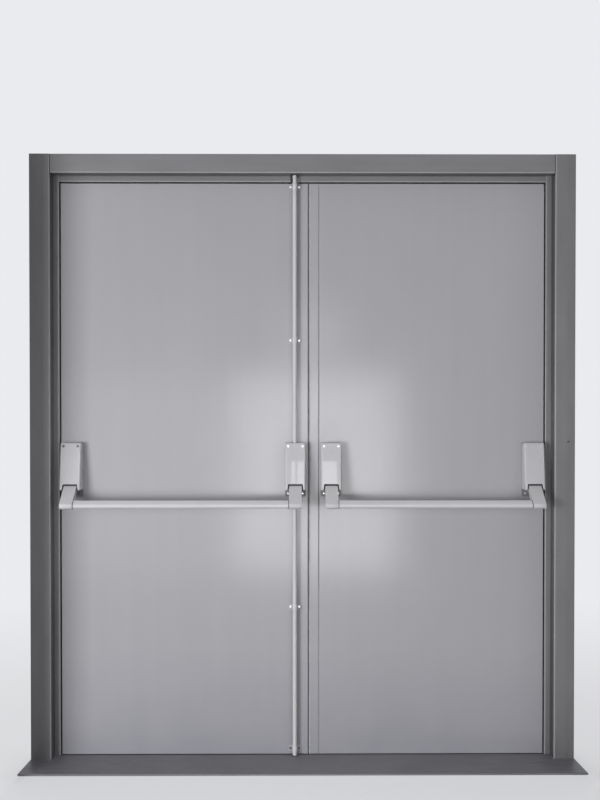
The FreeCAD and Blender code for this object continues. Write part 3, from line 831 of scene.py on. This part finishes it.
def flags():
    """Boards just outside the frame, unseen by the camera, that hold side light off it."""
    low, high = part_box("threshold")
    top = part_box("head")[1].z + FLAG_GAP
    shape = bmesh.new()
    corners = [(low.x - FLAG_GAP, -FLAG_DEPTH), (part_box("jamb_left")[0].x - FLAG_GAP, 0),
               (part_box("jamb_right")[1].x + FLAG_GAP, 0), (high.x + FLAG_GAP, -FLAG_DEPTH)]
    rows = [[shape.verts.new((across, depth, up)) for across, depth in corners] for up in (high.z, top)]
    for first in (0, 2):
        shape.faces.new(rows[0][first:first + 2] + rows[1][first:first + 2][::-1])
    boards = add_object("flags", shape, flag_paint())
    boards.visible_camera = False
    boards.visible_glossy = False


# Light and camera

def world_light():
    """Soft light that grows from below to above; the camera sees a pale background instead."""
    world = bpy.data.worlds.new("studio")
    bpy.context.scene.world = world
    world.use_nodes = True
    tree = world.node_tree
    direction = add(tree, "ShaderNodeTexCoord").outputs["Generated"]
    height = add(tree, "ShaderNodeSeparateXYZ", {0: direction}).outputs["Z"]
    ambient = tree.nodes["Background"]
    ambient.inputs["Color"].default_value = WHITE
    tree.links.new(ramp(tree, height, *SKY_SPAN, SKY_BELOW, SKY_ABOVE), ambient.inputs["Strength"])
    pale = add(tree, "ShaderNodeBackground", {"Color": PALE, "Strength": 1.0})
    sides = {0: seen_clearly(tree), 1: ambient.outputs[0], 2: pale.outputs[0]}
    either = add(tree, "ShaderNodeMixShader", sides).outputs[0]
    tree.links.new(either, tree.nodes["World Output"].inputs["Surface"])


def softbox(name, position, target, width, height, watts, mirrored):
    """A flat light that either lights surfaces or is only seen in their gloss."""
    lamp = bpy.data.lights.new(name, "AREA")
    lamp.shape = "RECTANGLE"
    lamp.size = width
    lamp.size_y = height
    lamp.energy = watts
    light = bpy.data.objects.new(name, lamp)
    light.location = position
    light.rotation_euler = (Vector(target) - Vector(position)).to_track_quat("-Z", "Y").to_euler()
    light.visible_camera = False
    light.visible_diffuse = not mirrored
    light.visible_glossy = mirrored
    bpy.context.scene.collection.objects.link(light)


def mirrored_pane(name, left, right, low, high, away, watts):
    """An upright card before the door that only gloss shows, with its watts to the square metre."""
    across, up = (left + right) / 2, (low + high) / 2
    width, height = right - left, high - low
    softbox(name, (across, -away, up), (across, 0, up), width, height, watts * width * height, mirrored=True)


def studio_light():
    """Wide boxes that light the door, and cards before it that only its gloss mirrors."""
    world_light()
    for part, height, share in BOX_PARTS:
        for side, position, width, watts in BOXES:
            softbox(f"{side}_{part}", position, DOOR_MIDDLE, width, height, watts * share, mirrored=False)
    softbox("back_box", BACK_PLACE, BACK_TARGET, width=3.0, height=2.0, watts=150, mirrored=False)
    for side, position in CARD_PLACES:
        softbox(f"{side}_card", position, CARD_TARGET, width=1.2, height=0.6, watts=15.0, mirrored=True)
    for name, *edges in BRIGHT_PANES:
        mirrored_pane(f"bright_pane_{name}", *edges, PANE_AWAY, BRIGHT_WATTS)
    mirrored_pane("faint_pane", *FAINT_PANE, PANE_AWAY, FAINT_WATTS)
    for name, *edges in WINDOWS:
        mirrored_pane(f"{name}_window", *edges, WINDOW_AWAY, WINDOW_WATTS)


def photo_camera():
    """A camera that stands where the photograph was taken."""
    camera = bpy.data.cameras.new("camera")
    camera.lens = LENS
    viewer = bpy.data.objects.new("camera", camera)
    viewer.location = CAMERA_PLACE
    viewer.rotation_euler = (radians(90 + CAMERA_PITCH), 0, radians(-CAMERA_YAW))
    bpy.context.scene.collection.objects.link(viewer)
    bpy.context.scene.camera = viewer


# The whole door

def dress_frame():
    """Paint on the frame's members and threshold, zinc on the fittings behind them."""
    for member, shade_share in RETURN_SHADE_SHARES.items():
        dress(frame_paint(member, shade_share), member)
    dress(sill_paint(), "threshold")
    dress(rubber("seal_rubber", RUBBER_BLACK), "frame_seal")
    fittings = ("rod_keeper", "wall_straps_left", "wall_straps_right", "hinge_pintles_left",
                "hinge_pintles_right", "hinge_barrels_left", "hinge_barrels_right")
    dress(zinc(), *fittings)
    soften(FITTING_EDGE, *fittings)
    soften(SILL_EDGE, "threshold")


def dress_leaves():
    """Paint on the leaves, the seal and beads in their joints, silver on the rods."""
    dress(leaf_paint(), "left_leaf_front", "left_leaf_back", "right_leaf_front", "right_leaf_back",
          "right_edge_strip")
    seal = rubber("grey_seal_rubber", SEAL_GREY)
    dress(seal, "meeting_seal")
    # The groove's bead is darker grey, painted shade of the groove line
    leaf_beads(rubber("groove_shade_fill", GROOVE_SHADE_GREY), seal)
    dress(guide_finish(), "rod_guides")
    dress(satin_silver("rod_silver", ROD_SILVER, coat=0.1), "upper_rod", "lower_rod")
    soften(GUIDE_EDGE, "rod_guides")


def dress_devices():
    """Silver on the housings, base plates, arms and push bars; the base plates get a darker copy as painted
    shade, the arms painted shadow at the mouths.
    """
    silver = satin_silver("device_silver", SILVER, coat=0.8)
    # Darker copy of the silver on the base plates: painted shade under the housings
    plate = satin_silver("shaded_plate_silver", SHADED_BASE_SILVER, coat=0.1)
    # The painted shadow on the arms starts a little below the mouth's upper edge
    shadowed_from = mouth_edge(DEVICES[0]) - MOUTH_SHADOW_DROP
    lever = satin_silver("arm_silver", ARM_SILVER, coat=0.4, shadowed_from=shadowed_from)
    dress(satin_silver("bar_silver", BAR_SILVER, coat=0.4), "left_push_bar", "right_push_bar")
    for device in DEVICES:
        dress(silver, f"{device}_housing")
        dress(lever, f"{device}_arm")
        dress(plate, f"{device}_base")
        soften(HOUSING_EDGE, f"{device}_base", f"{device}_housing")
        soften(ARM_EDGE, f"{device}_arm")


def add_fasteners():
    """Screws on the devices and guides, dark collars of painted shadow on the bars and the plug in the jamb.
    """
    bright = turned_steel("screw_bright", SCREW_BRIGHT, rough=0.22, metallic=0.9)
    dull = turned_steel("screw_dull", SCREW_DULL, rough=0.4, metallic=0.9)
    shadow_ring_material = rubber("shadow_ring_dark", SHADOW_RING_GREY)
    silver = turned_steel("screw_silver", SCREW_SILVER, rough=0.3, metallic=0.15)
    for device, material in zip(DEVICES, (dull, bright, bright, silver)):
        device_screws(device, material)
    guide_screws(bright, dull)
    # Dark collars painted as the shadow line at each end of the bars
    bar_shadow_rings("left", "left_outer_arm", "left_inner_arm", shadow_ring_material)
    bar_shadow_rings("right", "right_inner_arm", "right_outer_arm", shadow_ring_material)
    jamb_plug(rubber("plug_plastic", PLUG_GREY))


dress_frame()
dress_leaves()
dress_devices()
add_fasteners()
floor()
flags()
studio_light()
photo_camera()
bpy.context.scene.view_settings.view_transform = "Standard"
